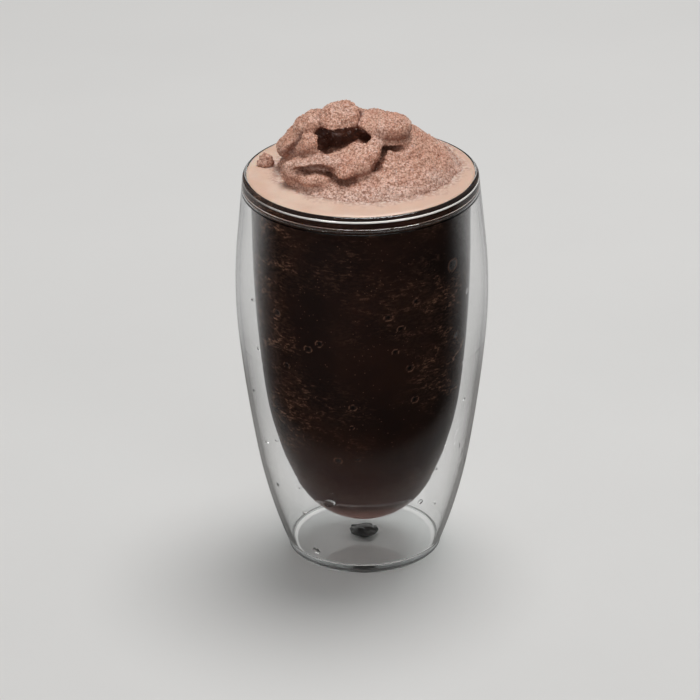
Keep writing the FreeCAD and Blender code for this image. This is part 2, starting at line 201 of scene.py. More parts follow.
# %% [markdown]
# ## Materials from the same helper
#
# A material here is a Principled shader whose fixed numbers stand on its own sockets, and whose colour,
# roughness and normal come from nodes. Patterns read Object coordinates, which are metres in the model's own
# frame, so a scale of 1000 gives features of about a millimetre.

# %% Material helper
def new_material(name):
    """An empty material, its tree, and the wire that carries places on the object."""
    made = bpy.data.materials.new(name)
    made.use_nodes = True
    made.node_tree.nodes.clear()
    tree = Tree(made.node_tree)
    return made, tree, tree.node("ShaderNodeTexCoord").out("Object")


def principled(tree, **inputs):
    """A Principled shader; an underscore in a name stands for a space."""
    return tree.node("ShaderNodeBsdfPrincipled",
                     {name.replace("_", " "): value for name, value in inputs.items()})


def finished(material, tree, surface, **more):
    """Links the surface, and a volume if there is one, and gives the material back."""
    tree.node("ShaderNodeOutputMaterial", {"Surface": surface, **more})
    return material


def dress(obj, material):
    obj.data.materials.clear()
    obj.data.materials.append(material)


# %% [markdown]
# ## Helpers for meshes
#
# Three small functions: one turns arrays into a mesh object, one runs a Geometry Nodes tree on an object and
# keeps the plain mesh, and one makes sure that faces point outwards, by the sign of the enclosed volume.

# %% Mesh helpers
def mesh_object(name, points, faces):
    mesh = bpy.data.meshes.new(name)
    mesh.from_pydata([tuple(p) for p in points], [], [tuple(f) for f in faces])
    mesh.update()
    made = bpy.data.objects.new(name, mesh)
    bpy.context.scene.collection.objects.link(made)
    return made


def places(mesh, what="co"):
    """One row for each point: its place, or its normal."""
    flat = np.empty(len(mesh.vertices) * 3, dtype=np.float32)
    mesh.vertices.foreach_get(what, flat)
    return flat.reshape(-1, 3).astype(float)


def add_attribute(mesh, name, values):
    made = mesh.attributes.new(name, "FLOAT", "POINT")
    made.data.foreach_set("value", np.asarray(values, dtype=np.float32))


def triangles(mesh):
    mesh.calc_loop_triangles()
    flat = np.empty(len(mesh.loop_triangles) * 3, dtype=np.int32)
    mesh.loop_triangles.foreach_get("vertices", flat)
    return flat.reshape(-1, 3)


def volume(mesh):
    a, b, c = (places(mesh)[triangles(mesh)[:, n]] for n in range(3))
    return float(np.einsum("ij,ij->i", a, np.cross(b, c)).sum() / 6)


def face_outwards(obj):
    """Turns a closed mesh right side out, and shades it smooth."""
    if volume(obj.data) < 0:
        obj.data.flip_normals()
    obj.data.shade_smooth()


class GeometryTree(Tree):
    """A Geometry Nodes tree with named inputs, each with its value."""

    def __init__(self, name, numbers=None):
        group = bpy.data.node_groups.new(name, "GeometryNodeTree")
        super().__init__(group)
        group.interface.new_socket("Geometry", in_out="INPUT", socket_type="NodeSocketGeometry")
        group.interface.new_socket("Geometry", in_out="OUTPUT", socket_type="NodeSocketGeometry")
        self.numbers = numbers or {}
        for label, value in self.numbers.items():
            kind = "NodeSocketInt" if isinstance(value, int) else "NodeSocketFloat"
            group.interface.new_socket(label, in_out="INPUT", socket_type=kind)
        self.given = group.nodes.new("NodeGroupInput")
        self.geometry = Wire(self, self.given.outputs["Geometry"])

    def number(self, label):
        return Wire(self, self.given.outputs[label])

    def stored(self, name, kind="FLOAT"):
        """A number or vector that the mesh carries at each of its points."""
        return self.node("GeometryNodeInputNamedAttribute", {"Name": name}, data_type=kind)

    def random(self, low, high, step):
        """A random number or vector for each copy; the step keeps several draws apart."""
        first, kind = (0, "FLOAT_VECTOR") if isinstance(low, tuple) else (2, "FLOAT")
        return self.node("FunctionNodeRandomValue", {
            first: low, first + 1: high, "Seed": self.number("Seed") + step}, data_type=kind)

    def pushed(self, offset):
        """The object's own mesh with each point moved by a vector."""
        return self.node("GeometryNodeSetPosition", {"Geometry": self.geometry, "Offset": offset})

    def run(self, obj, geometry, material):
        """Ends the tree, runs it on the object, and leaves the result as the object's plain mesh."""
        single = self.node("GeometryNodeRealizeInstances", {"Geometry": geometry})
        painted = self.node("GeometryNodeSetMaterial", {"Geometry": single, "Material": material})
        self.node("NodeGroupOutput", {"Geometry": painted})
        modifier = obj.modifiers.new("nodes", "NODES")
        modifier.node_group = self.nodes
        for item in self.nodes.interface.items_tree:
            if item.in_out == "INPUT" and item.name in self.numbers:
                modifier[item.identifier] = self.numbers[item.name]
        graph = bpy.context.evaluated_depsgraph_get()
        mesh = bpy.data.meshes.new_from_object(obj.evaluated_get(graph), depsgraph=graph)
        obj.modifiers.remove(modifier)
        mesh.name = obj.name
        obj.data = mesh
        return obj


# %% [markdown]
# ## A plain pale studio
#
# The glass stands on a pale table in front of a pale wall, under one large soft lamp and a little light from
# all round. Clear glass needs something dark to mirror, or its edges vanish: for the rays that mirror
# in the glass the room is dim beyond the table close by, while the rays that pass through the glass see the
# same pale background as the camera does.

# %% World
PALE = srgb(236, 235, 233)
ROOM_LIGHT = 0.27
ROOM_MIRRORED = 0.16


def ray_kinds(tree):
    """The Light Path node, and a wire that is 1 for rays from the camera, straight or through glass."""
    path = tree.node("ShaderNodeLightPath")
    return path, tree.math("MAXIMUM", path.out("Is Camera Ray"), path.out("Is Transmission Ray"))


def make_world():
    world = bpy.data.worlds.new("studio")
    bpy.context.scene.world = world
    world.use_nodes = True
    world.node_tree.nodes.clear()
    tree = Tree(world.node_tree)
    path, seen = ray_kinds(tree)
    level = ROOM_LIGHT + (ROOM_MIRRORED - ROOM_LIGHT) * path.out("Is Glossy Ray")
    light = tree.node("ShaderNodeBackground", {"Color": (1, 1, 1), "Strength": level})
    backdrop = tree.node("ShaderNodeBackground", {"Color": PALE, "Strength": 1.0})
    both = tree.node("ShaderNodeMixShader", {0: seen, 1: light, 2: backdrop})
    tree.node("ShaderNodeOutputWorld", {"Surface": both})


make_world()
print("room light", ROOM_LIGHT, "backdrop", [round(v, 2) for v in PALE])

# %% Floor
FLOOR_HALF = 6.0
FLOOR_FADES = 0.9, 3.2          # the floor turns into the backdrop between these distances
TABLE_ENDS = 0.085, 0.120       # the table close by ends between these distances, for rays that mirror
TABLE_OFFSET = 0.45             # how much farther it reaches behind the glass than in front
ROOM_TURNS = -0.02, 0.22        # the mirrored floor turns from dark to pale between these depths
NEAR_MIRRORED, FRONT_MIRRORED, BACK_MIRRORED = srgb(142, 140, 138), srgb(22, 20, 19), srgb(196, 195, 194)


def make_floor():
    h = FLOOR_HALF
    floor = mesh_object("floor", [(-h, -h, 0), (h, -h, 0), (h, h, 0), (-h, h, 0)], [(0, 1, 2, 3)])
    material, tree, place = new_material("pale_table")
    path, seen = ray_kinds(tree)
    away = tree.vector("LENGTH", place).out("Value")
    depth = tree.part(place, "Y")
    far = tree.ramp(away - depth * TABLE_OFFSET, *TABLE_ENDS)
    grain = tree.noise(place, 9.0, 3.0)
    pale = tree.mix(grain, srgb(226, 225, 223), srgb(232, 231, 229))
    mirrored = tree.mix(tree.ramp(depth, *ROOM_TURNS), FRONT_MIRRORED, BACK_MIRRORED)
    mirrored = tree.mix(far, NEAR_MIRRORED, mirrored)
    colour = tree.mix(path.out("Glossy Depth") > 0.5, pale, mirrored)
    surface = principled(tree, Base_Color=colour, Roughness=0.6, Specular_IOR_Level=0.0)
    fade = tree.ramp(away, *FLOOR_FADES)
    backdrop = tree.node("ShaderNodeEmission", {"Color": PALE, "Strength": 1.0})
    faded = tree.node("ShaderNodeMixShader", {0: fade * seen, 1: surface, 2: backdrop})
    dress(floor, finished(material, tree, faded))
    return floor


floor = make_floor()
print("floor", FLOOR_HALF * 2, "m wide")

# %% Lamps
def area_lamp(name, place, target, size, power):
    data = bpy.data.lights.new(name, "AREA")
    data.shape = "ELLIPSE"
    data.size, data.size_y = size
    data.energy = power
    lamp = bpy.data.objects.new(name, data)
    lamp.location = place
    lamp.rotation_euler = (Vector(target) - Vector(place)).to_track_quat("-Z", "Y").to_euler()
    bpy.context.scene.collection.objects.link(lamp)
    return lamp


area_lamp("overhead_softbox", (0.16, 0.34, 1.60), (0, 0, 0.14), (0.85, 0.85), 15.5)
area_lamp("front_softbox", (0.70, -1.20, 0.62), (0, 0, 0.10), (0.8, 0.35), 1.3)
area_lamp("low_fill", (-0.70, -1.00, 0.14), (0, 0, 0.0), (0.6, 0.16), 2.8)

# %% [markdown]
# ## Turning an outline on a lathe
#
# The drink, the froth, the line under the rim and the vent plug are bodies of revolution. The Spin tool or
# the Screw modifier could turn their outlines; here a Geometry Nodes lathe does. It takes the outline's
# points from the object's own mesh, lays out a grid with one row for each point, and moves each grid point to
# its angle, so rounds and corners are kept as they are. Merge by Distance closes the ends and the pole.

# %% Lathe
def lathe(name, outline, material, segments):
    """Turns an outline, given in millimetres as (radius, height), into a closed solid."""
    obj = mesh_object(name, [(r * MM, 0.0, z * MM) for r, z in outline], [])
    tree = GeometryTree(name + "_lathe", {"Segments": segments, "Rows": len(outline), "Weld": 2e-6})
    turns, rows = tree.number("Segments"), tree.number("Rows")
    grid = tree.node("GeometryNodeMeshGrid", {
        "Size X": 1.0, "Size Y": 1.0, "Vertices X": turns + 1, "Vertices Y": rows})
    index = tree.node("GeometryNodeInputIndex")
    row = tree.math("MODULO", index, rows)
    column = tree.math("FLOOR", index / rows)
    outline = tree.node("GeometryNodeSampleIndex", {
        "Geometry": tree.geometry, "Value": tree.node("GeometryNodeInputPosition"), "Index": row},
        data_type="FLOAT_VECTOR", domain="POINT")
    angle = column / turns * (2 * math.pi)
    place = tree.node("ShaderNodeVectorRotate", {"Vector": outline, "Angle": angle}, rotation_type="Z_AXIS")
    turned = tree.node("GeometryNodeSetPosition", {"Geometry": grid, "Position": place})
    welded = tree.node("GeometryNodeMergeByDistance", {
        "Geometry": turned, "Distance": tree.number("Weld")})
    tree.run(obj, welded, material)
    face_outwards(obj)
    print(obj.name, "turned:", len(obj.data.polygons), "faces,", round(volume(obj.data) * 1e6, 1), "ml")
    return obj


# %% [markdown]
# ## Clear glass
#
# Borosilicate glass is colourless face on and a little grey where the eye looks along the wall. A Principled
# shader with full transmission bends light as glass does, and Volume Absorption gives the grey by depth.
# Light should reach the drink through both walls, so shadow rays pass as if the glass were thin film.
# Blown glass isn't quite even either, which a very faint bump shows in its reflections.

# %% Glass finish
GROUND_FOOT = 0.0011, 0.0015    # metres; the foot ring is ground up to here, polished above


def clear_surface(tree, shadow_tint, **inputs):
    """A shader that lets all light through, for shadow rays as if it were thin film."""
    clear = principled(tree, Base_Color=(1, 1, 1), Transmission_Weight=1.0, **inputs)
    thin = tree.node("ShaderNodeBsdfTransparent", {"Color": shadow_tint})
    shadow = tree.node("ShaderNodeLightPath").out("Is Shadow Ray")
    return tree.node("ShaderNodeMixShader", {0: shadow, 1: clear, 2: thin})


def glass_finish():
    material, tree, place = new_material("clear_glass")
    stretched = tree.vector("MULTIPLY", place, (1.0, 1.0, 0.35))
    waves = tree.noise(stretched, 70.0, 1.0)
    ground = tree.ramp(tree.part(place, "Z"), *GROUND_FOOT, 0.30, 0.0)
    surface = clear_surface(tree, (0.94, 0.95, 0.95), IOR=1.47, Roughness=ground,
                            Normal=tree.bump(waves, 0.00008, 0.5))
    grey = tree.node("ShaderNodeVolumeAbsorption", {"Color": (0.86, 0.89, 0.89), "Density": 32.0})
    return finished(material, tree, surface, Volume=grey)


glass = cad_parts["glass"]
dress(glass, glass_finish())
print("glass:", len(glass.data.polygons), "faces from the CAD")

# %% [markdown]
# ## The outline of the bowl
#
# What fills a glass must reach just into its wall, or a film of air shows between the two. The bowl's inside
# is read from the CAD solid of the drink: the largest radius at each height. It is then walked off in equal
# steps and moved outwards by a fraction of a millimetre.

# %% Bowl outline
INTO_WALL = 0.15               # how far the drink reaches into the glass, mm
RIM_CREST = 148.0              # height of the glass, mm
FROTH_TOP = 148.5


def wall_outline(node):
    """Radius and height of a CAD node's widest turned outline, in millimetres, from the lowest up."""
    found = {}
    for x, y, z in places(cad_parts[node].data) / MM:
        height = round(z, 2)
        found[height] = max(found.get(height, 0.0), math.hypot(x, y))
    heights = np.array(sorted(found))
    return np.array([found[h] for h in heights]), heights


def stepped(radii, heights, step):
    """The same outline with its points a step apart."""
    length = np.concatenate([[0], np.cumsum(np.hypot(np.diff(radii), np.diff(heights)))])
    even = np.linspace(0, length[-1], int(length[-1] / step) + 1)
    return np.interp(even, length, radii), np.interp(even, length, heights)


def moved_out(radii, heights, distance):
    """The outline moved outwards along its own normals."""
    out_r, out_z = np.gradient(heights), -np.gradient(radii)
    size = np.hypot(out_r, out_z)
    return np.maximum(radii + distance * out_r / size, 0), heights + distance * out_z / size


bowl_radii, bowl_heights = wall_outline("shake")
bowl_radii[0] = 0.0
print("bowl inside: bottom", bowl_heights[0], "top", bowl_heights[-1], "widest", round(bowl_radii.max(), 2))

# %% [markdown]
# ## The drink
#
# A thick frozen drink leaves air pockets against the glass: dark pits with a pale edge, some small rings
# where a bubble touches the wall, and frosty streaks where ice slid down. The pits are real dents in the
# turned body, each from its direction, height and width, and the finish darkens them nearly to black as
# painted shade. Streaks and specks are in the finish, because they lie flat against the wall.

# %% Drink body
DRINK_STEP = 0.75              # mm between rings of points
DRINK_TURNS = 400
DRINK_LEVEL = 147.2            # where the drink ends, under the froth

# Air pockets against the glass: direction in degrees from the front, to the right; height; half width;
# half height; depth, in millimetres
AIR_POCKETS = [
    (56, 121.0, 1.7, 1.5, 1.3), (30, 112.0, 0.9, 0.8, 0.8), (14, 107.5, 1.2, 0.7, 0.8),
    (21, 102.5, 1.0, 0.7, 0.8), (-24, 96.5, 0.9, 0.8, 0.8), (-31, 93.5, 1.1, 0.8, 0.9),
    (18, 93.5, 0.8, 0.7, 0.7), (27, 86.0, 1.0, 0.9, 0.8), (31, 72.5, 1.0, 0.9, 0.8),
    (-6, 71.5, 0.9, 0.8, 0.7), (-7, 63.0, 0.6, 0.6, 0.6), (-4, 49.0, 0.7, 0.5, 0.6),
    (-17, 48.0, 1.0, 0.9, 0.4), (-52, 104.0, 1.2, 0.9, 0.8), (-47, 84.0, 1.0, 0.8, 0.8),
    (62, 92.0, 1.1, 0.8, 0.8),
]


def scattered_pockets(count, seed):
    """More pockets round the sides and back, where they are as frequent as in front."""
    random = np.random.default_rng(seed)
    pockets = []
    for _ in range(count):
        wide = random.uniform(0.6, 1.4)
        pockets.append((random.uniform(72, 288), random.uniform(45, 130),
                        wide, wide * random.uniform(0.7, 1.0), wide * 0.5))
    return pockets


def press_pockets(points, pockets):
    """Moves points, in millimetres, into dents. Also gives 1 in a dent, down to -0.8 on its raised edge."""
    x, y, z = points.T
    radius = np.hypot(x, y)
    direction = np.arctan2(x, -y)
    depth = np.zeros(len(x))
    for degrees, height, wide, high, deep in pockets:
        off = (direction - math.radians(degrees) + math.pi) % (2 * math.pi) - math.pi
        spread = np.sqrt((off * radius / wide) ** 2 + ((z - height) / high) ** 2)
        radius = radius - deep * np.exp(-spread ** 4)
        depth += np.exp(-(spread / 0.85) ** 4) - 0.8 * np.exp(-((spread - 1.5) / 0.35) ** 2)
    return np.column_stack([radius * np.sin(direction), -radius * np.cos(direction), z]), depth


def make_drink(material):
    radii, heights = stepped(bowl_radii, bowl_heights, DRINK_STEP)
    radii, heights = moved_out(radii, heights, INTO_WALL)
    below = heights < DRINK_LEVEL
    radii, heights = radii[below], heights[below]
    radii[0] = 0.0
    outline = list(zip(radii, heights)) + [(radii[-1] - 0.6, DRINK_LEVEL), (radii[-1] * 0.6, DRINK_LEVEL),
                                           (0.0, DRINK_LEVEL)]
    drink = lathe("drink", outline, material, DRINK_TURNS)
    pressed, depth = press_pockets(places(drink.data) / MM, AIR_POCKETS + scattered_pockets(26, 5))
    drink.data.vertices.foreach_set("co", (pressed * MM).astype(np.float32).ravel())
    add_attribute(drink.data, "dent", depth)
    drink.data.update()
    return drink


# %% [markdown]
# ## The drink's colour
#
# Through the glass the drink is nearly black, with thin pale threads of frost that grow stronger towards the
# sides. Low down it is painted paler, as painted light from the table that would light it from below. A
# painted texture could show this.
# Noise in Object coordinates does it without an image and stays where it is on the drink.

# %% Drink finish
DRINK_BOTTOM = 0.0135          # metres
PALE_BOTTOM, PALE_LOWER_PART = 0.025, 0.060     # how high the paler colour reaches, strong and faint
DRINK_DARK, DRINK_MID, DRINK_PALE = srgb(28, 15, 11), srgb(41, 23, 16), srgb(170, 126, 102)


def drink_finish():
    material, tree, place = new_material("dark_shake")
    across = tree.part(place, "X")
    to_side = tree.ramp(abs(across), 0.012, 0.038)
    flow = tree.vector("MULTIPLY", place, (0.6, 0.6, 1.5))
    cloudy = tree.noise(place, 38.0, 3.0)
    body = tree.mix(tree.ramp(cloudy, 0.35, 0.68), DRINK_DARK, DRINK_MID)
    swirl = tree.noise(flow, 75.0, 6.0, 0.66)
    thread = tree.ramp(abs(swirl - 0.5), 0.0, 0.030, 1.0, 0.0)
    frost = tree.ramp(tree.noise(flow, 900.0, 3.0, 0.7), 0.40, 0.66)
    where = tree.ramp(tree.noise(place, 30.0, 2.0), 0.44, 0.60) * (0.18 + 0.82 * to_side)
    body = tree.mix((thread * 0.75 + 0.14) * frost * where, body, DRINK_PALE)
    fleck = tree.cells(place, 520.0)
    body = tree.mix(tree.ramp(fleck, 0.04, 0.14, 0.30, 0.0), body, DRINK_PALE)
    dent = tree.painted("dent")
    # painted shade: the dents are darkened nearly to black, deeper dents more
    body = tree.mix(tree.ramp(dent, 0.1, 0.6), body, srgb(8, 4, 3))
    body = tree.mix(tree.ramp(0 - dent, 0.25, 0.75, 0.0, 0.30), body, DRINK_PALE)
    height = tree.part(place, "Z")
    # painted light: the lowest part is mixed towards a pale pink-brown, as light from the table below would
    # brighten it
    low = tree.ramp(height, DRINK_BOTTOM, PALE_BOTTOM, 0.88, 0.0) \
        + tree.ramp(height, DRINK_BOTTOM, PALE_LOWER_PART, 0.09, 0.0)
    body = tree.mix(low, body, srgb(238, 178, 164))
    surface = principled(tree, Base_Color=body, Roughness=0.6, Specular_IOR_Level=0.05,
                         Sheen_Weight=0.30, Sheen_Roughness=0.4, Sheen_Tint=(0.80, 0.58, 0.52),
                         Normal=tree.bump(tree.noise(place, 420.0, 3.0), 0.0003, 0.5))
    return finished(material, tree, surface)


drink = make_drink(drink_finish())

# %% [markdown]
# ## The froth
#
# At the brim lies a smooth tan layer, a little proud of the rim, with a rounded edge that laps onto the inner
# round of the glass. It is turned from an outline as the drink is, and then its top is made slightly uneven
# and given small bubbles.

# %% Froth body
FROTH_STEP = 0.5
FROTH_TURNS = 420
FROTH_UNDER, FROTH_ROUND = 146.9, 147.75       # heights of its underside, and where its edge rounds over
FROTH_EDGE_RADIUS, FROTH_EDGE_ROUND = 41.0, 2.0
FROTH_RELIEF_FROM = 0.1478, 0.1483             # metres; only the top is uneven


def froth_outline():
    """From the axis underneath, out to the wall, over the rounded edge, and back to the axis."""
    radii, heights = wall_outline("froth")
    side = [(np.interp(z, heights, radii) + INTO_WALL, z) for z in (FROTH_UNDER, 147.2, 147.5)]
    corner = FROTH_EDGE_RADIUS - FROTH_EDGE_ROUND
    edge = [(corner + FROTH_EDGE_ROUND * math.cos(a), FROTH_ROUND + 0.72 * math.sin(a))
            for a in np.radians(np.arange(0, 91, 10))]
    inner = [(r, FROTH_TOP) for r in np.arange(FROTH_EDGE_RADIUS - 2.4, 24.0, -FROTH_STEP)]
    return [(0.0, FROTH_UNDER), (30.0, FROTH_UNDER)] + side + edge + inner + [(0.0, FROTH_TOP)]


def make_froth(material):
    froth = lathe("froth_layer", froth_outline(), material, FROTH_TURNS)
    tree = GeometryTree("froth_relief", {"Swell": 0.00022, "Bubble": 0.00016})
    place = tree.node("GeometryNodeInputPosition")
    height = tree.part(place, "Z")
    on_top = tree.ramp(height, *FROTH_RELIEF_FROM)
    swell = (tree.noise(place, 110.0, 2.0) - 0.5) * 2 * tree.number("Swell")
    cell = tree.cells(place, 420.0)
    few = tree.ramp(tree.part(cell.out("Color"), "X"), 0.78, 0.80)
    bubble = tree.ramp(cell, 0.0, 0.30, 1.0, 0.0) * few * tree.number("Bubble")
    lift = tree.node("ShaderNodeCombineXYZ", {"Z": (swell + bubble) * on_top})
    tree.run(froth, tree.pushed(lift), material)
    froth.data.shade_smooth()
    return froth


# %% [markdown]
# ## The froth's colour
#
# Froth is tiny bubbles: matt, softly lit from within, and mottled where it meets the slush. Subsurface
# scattering gives the soft light. The mottling could be painted; here it ends at a distance from the middle
# of the heap, and noise frays its edge.

# %% Froth finish
HEAP_MIDDLE = (0.0028, 0.0035, 0.1485)     # metres; round it the froth is mottled with slush
MOTTLED_UP_TO = 0.0325, 0.0378             # radii between which the mottling ends


def froth_finish():
    material, tree, place = new_material("tan_froth")
    cloudy = tree.noise(place, 60.0, 3.0)
    body = tree.mix(tree.ramp(cloudy, 0.32, 0.70), srgb(230, 191, 168), srgb(244, 215, 196))
    # painted shade: towards the right the froth is evened to a duller tone, as light falls from the left
    body = tree.mix(tree.ramp(tree.part(place, "X"), -0.03, 0.045), body, srgb(232, 195, 174))
    away = tree.vector("DISTANCE", place, HEAP_MIDDLE).out("Value")
    frayed = away + (tree.noise(place, 240.0, 3.0) - 0.5) * 0.010
    near = tree.ramp(frayed, *MOTTLED_UP_TO, 1.0, 0.0)
    spots = tree.ramp(tree.noise(place, 900.0, 2.0), 0.40, 0.62)
    mottled = tree.mix(spots, srgb(186, 142, 124), srgb(236, 214, 202))
    body = tree.mix(near * 0.75, body, mottled)
    pores = tree.cells(place, 1500.0)
    body = tree.mix(tree.ramp(pores, 0.0, 0.30, 0.34, 0.0), body, srgb(186, 142, 120))
    relief = tree.noise(place, 1300.0, 2.0) * 0.5 + pores * 0.5
    surface = principled(tree, Base_Color=body, Roughness=tree.ramp(cloudy, 0.3, 0.7, 0.42, 0.30),
                         Subsurface_Weight=0.25, Subsurface_Radius=(0.0022, 0.0012, 0.0007),
                         Subsurface_Scale=1.0, Coat_Weight=0.15, Coat_Roughness=0.25,
                         Normal=tree.bump(relief, 0.00012, 0.35))
    return finished(material, tree, surface)


froth = make_froth(froth_finish())
print("froth:", len(froth.data.polygons), "faces")

# %% [markdown]
# ## The slush, as a field of distances
#
# The crown is half-frozen slush that was spooned on: a low cone with soft lobes, a fold that runs down to
# the front, a ledge with pockets under it, and a deep hollow under the peak. Metaballs or sculpting could
# make such a form. Here every lump is a rounded block with a centre, half sizes and a turn, and a formula
# gives the distance to its surface, so lumps melt together or scoop each other out by a soft minimum or
# maximum. All distances are worked out on one grid of points with numpy.

# %% Slush lumps
HEAP_CENTRE, HEAP_FOOT = (2.8, 3.5), 33.2           # middle and radius of the foot, mm
HEAP_TOE, HEAP_HEIGHT, HEAP_CAP = 1.9, 26.0, 16.5   # heights: the foot's edge, the cone, its flattened tip
HEAP_LOW, HEAP_LOW_SIDE = 7.5, -125.0               # how much lower one side is, mm, and which, degrees

# what, centre (z from the crest of the rim), half sizes, yaw, pitch, roll, squareness, softness of the join
DEEP_HOLLOW = ("cut", (-5.0, -0.8, 17.8), (13.6, 9.0, 4.8), 14, 28, 0, 2.3, 0.6)   # under the peak
HOLLOW_END = ("cut", (-1.0, -5.6, 16.6), (7.0, 5.0, 2.0), 16, -14, 0, 2.3, 0.6)    # its right end
CROWN = [
    ("add", (-17.0, 7.0, 7.5), (11.0, 11.0, 7.5), 0, 14, 0, 2.2, 3.0),  # left shoulder
    ("add", (-1.0, 9.0, 12.5), (14.0, 9.0, 6.5), 0, 0, 0, 2.2, 2.5),  # core under the peak
    ("cut", (-14.5, -12.5, 15.0), (13.0, 11.0, 6.5), 20, 10, 0, 2.0, 1.5),  # step above the ledge
    ("add", (0.2, -7.6, 12.2), (13.5, 8.6, 3.8), 66, 29, -5, 3.0, 0.8),  # fold that runs to the front
    ("add", (-2.4, -16.4, 8.4), (9.5, 4.2, 2.8), 30, 22, 0, 2.3, 2.2),  # lip of the fold
    ("add", (-15.0, -12.0, 8.4), (12.5, 5.2, 2.6), -4, 8, 0, 2.4, 1.4),  # ledge
    ("cut", (-17.6, -17.6, 7.3), (8.8, 4.6, 2.1), -10, 4, 0, 2.0, 1.0),  # pocket under the ledge
    ("cut", (-7.5, -20.0, 5.4), (5.4, 3.0, 1.1), 4, 6, 0, 2.0, 1.4),  # pocket under the lip
    ("add", (-16.2, -17.0, 4.2), (6.3, 3.9, 2.4), -4, 0, 0, 2.0, 1.2),  # small lump in the pocket
    ("add", (-23.6, -11.8, 4.4), (4.0, 3.8, 4.2), 0, 0, 0, 2.1, 2.2),  # foot of the ledge at its left end
    ("add", (-18.0, -5.0, 11.0), (4.8, 4.4, 6.0), 10, -14, 0, 2.5, 0.9),  # block behind the ledge
    ("add", (-16.5, 4.0, 16.8), (7.6, 6.5, 4.6), 4, 16, 0, 2.3, 0.8),  # upper left lobe
    ("add", (-23.5, 4.0, 11.4), (8.0, 5.5, 3.2), 4, 42, 0, 2.6, 1.0),  # lower left lobe
    DEEP_HOLLOW,
    ("add", (9.2, -1.4, 17.5), (9.0, 7.6, 4.6), 0, 2, 0, 2.3, 0.6),  # right lobe
    ("add", (1.0, 1.4, 19.5), (6.5, 5.0, 1.9), 0, 4, 8, 2.2, 1.2),  # bridge from the peak to the lobe
    HOLLOW_END,
    ("cut", (10.6, -8.6, 12.8), (6.0, 2.2, 0.8), -8, -4, 0, 2.1, 1.4),  # shadow line under the right lobe
    ("cut", (6.6, -12.4, 10.2), (1.7, 6.0, 0.8), -24, 0, 33, 2.0, 1.8),  # groove along the fold
    ("add", (6.0, 20.0, 8.5), (9.0, 6.0, 4.2), -20, 0, 30, 2.2, 1.5),  # lobe at the back
    ("add", (-14.0, 19.0, 6.5), (8.0, 6.0, 4.6), 35, 0, 25, 2.2, 1.5),  # lobe at the back left
]
PEAK = [
    ("add", (-7.3, 0.6, 20.4), (7.4, 7.2, 3.5), 0, 3, 30, 2.3, 0.5),  # slab that leans to the front
    ("add", (-6.0, 3.4, 23.0), (4.2, 3.4, 2.1), 0, 0, 10, 2.2, 1.5),  # its crest
    ("cut", (-7.0, -7.4, 14.4), (12.0, 8.0, 4.0), 0, 0, 10, 2.4, 0.4),  # flat underside
]
CRUMB = [
    ("add", (-35.9, 5.6, 1.5), (1.5, 1.5, 1.5), 0, 0, 0, 2.2, 0.3),
    ("add", (-34.2, 4.6, 1.4), (1.6, 1.3, 1.5), 30, 0, 0, 2.1, 0.3),
    ("add", (-32.6, 5.6, 1.5), (1.5, 1.6, 1.6), 0, 15, 0, 2.2, 0.3),
    ("add", (-34.0, 7.0, 2.0), (2.0, 1.7, 1.9), 20, 0, 0, 2.1, 0.3),
    ("add", (-35.2, 6.2, 3.2), (1.2, 1.2, 1.3), 0, 0, 20, 2.0, 0.3),
    ("add", (-33.2, 6.0, 3.5), (1.3, 1.3, 1.2), 0, 20, 0, 2.2, 0.3),
    ("add", (-34.3, 6.4, 4.4), (0.9, 0.9, 0.9), 0, 0, 0, 2.0, 0.3),
]


def turned_by(a, b, degrees):
    c, s = math.cos(math.radians(degrees)), math.sin(math.radians(degrees))
    return c * a + s * b, c * b - s * a


def lump(x, y, z, centre, half, yaw, pitch, roll, square):
    """About how far points are from a turned, rounded lump: negative inside."""
    x, y, z = x - centre[0], y - centre[1], z - centre[2]
    x, y = turned_by(x, y, yaw)
    x, z = turned_by(x, z, pitch)
    y, z = turned_by(y, z, roll)
    a, b, c = abs(x / half[0]), abs(y / half[1]), abs(z / half[2])
    size = (a ** square + b ** square + c ** square) ** (1.0 / square)
    steep = np.sqrt((a / half[0]) ** 2 + (b / half[1]) ** 2 + (c / half[2]) ** 2) + 1e-9
    return (size - 1.0) * np.sqrt(a * a + b * b + c * c) / steep


def soft_min(a, b, k):
    h = np.maximum(k - abs(a - b), 0.0) / k
    return np.minimum(a, b) - h * h * k / 4


def sculpt(distance, steps, x, y, z):
    """Puts lumps on and scoops hollows out, in order."""
    for what, centre, half, yaw, pitch, roll, square, soft in steps:
        d = lump(x, y, z, centre, half, yaw, pitch, roll, square)
        distance = soft_min(distance, d, soft) if what == "add" else -soft_min(-distance, d, soft)
    return distance


def unevenness(x, y, z):
    """Gentle bumps, a few millimetres across."""
    broad = np.sin(0.61 * x + 1.3) * np.sin(0.53 * y + 0.4) * np.sin(0.67 * z + 2.1)
    small = np.sin(1.13 * x - 0.4 * y + 0.7) * np.sin(1.21 * y + 0.3 * z) * np.cos(1.07 * z + 0.5 * x)
    return 0.25 * broad + 0.10 * small


def heap(x, y, z):
    """The cone of the heap. Its foot wanders in and out, and thins into the froth."""
    dx, dy = x - HEAP_CENTRE[0], y - HEAP_CENTRE[1]
    r, direction = np.hypot(dx, dy), np.arctan2(dy, dx)
    waves = ((0.5, 5, 1.0), (0.35, 11, 2.4), (0.2, 23, 0.0))
    wander = sum(size * np.sin(count * direction + start) for size, count, start in waves)
    low = np.maximum(np.cos(direction - math.radians(HEAP_LOW_SIDE)), 0.0) ** 2
    share = np.maximum(1.0 - r / HEAP_FOOT, 0.0)
    top = soft_min((HEAP_HEIGHT - HEAP_LOW * low) * share ** (1.12 + 0.30 * low), HEAP_CAP, 3.0)
    toe = np.clip((HEAP_FOOT + wander - r) / 5.0, -1.0, 1.0)
    return (z - top - HEAP_TOE * toe * (2 - abs(toe)) - 0.1) * 0.84
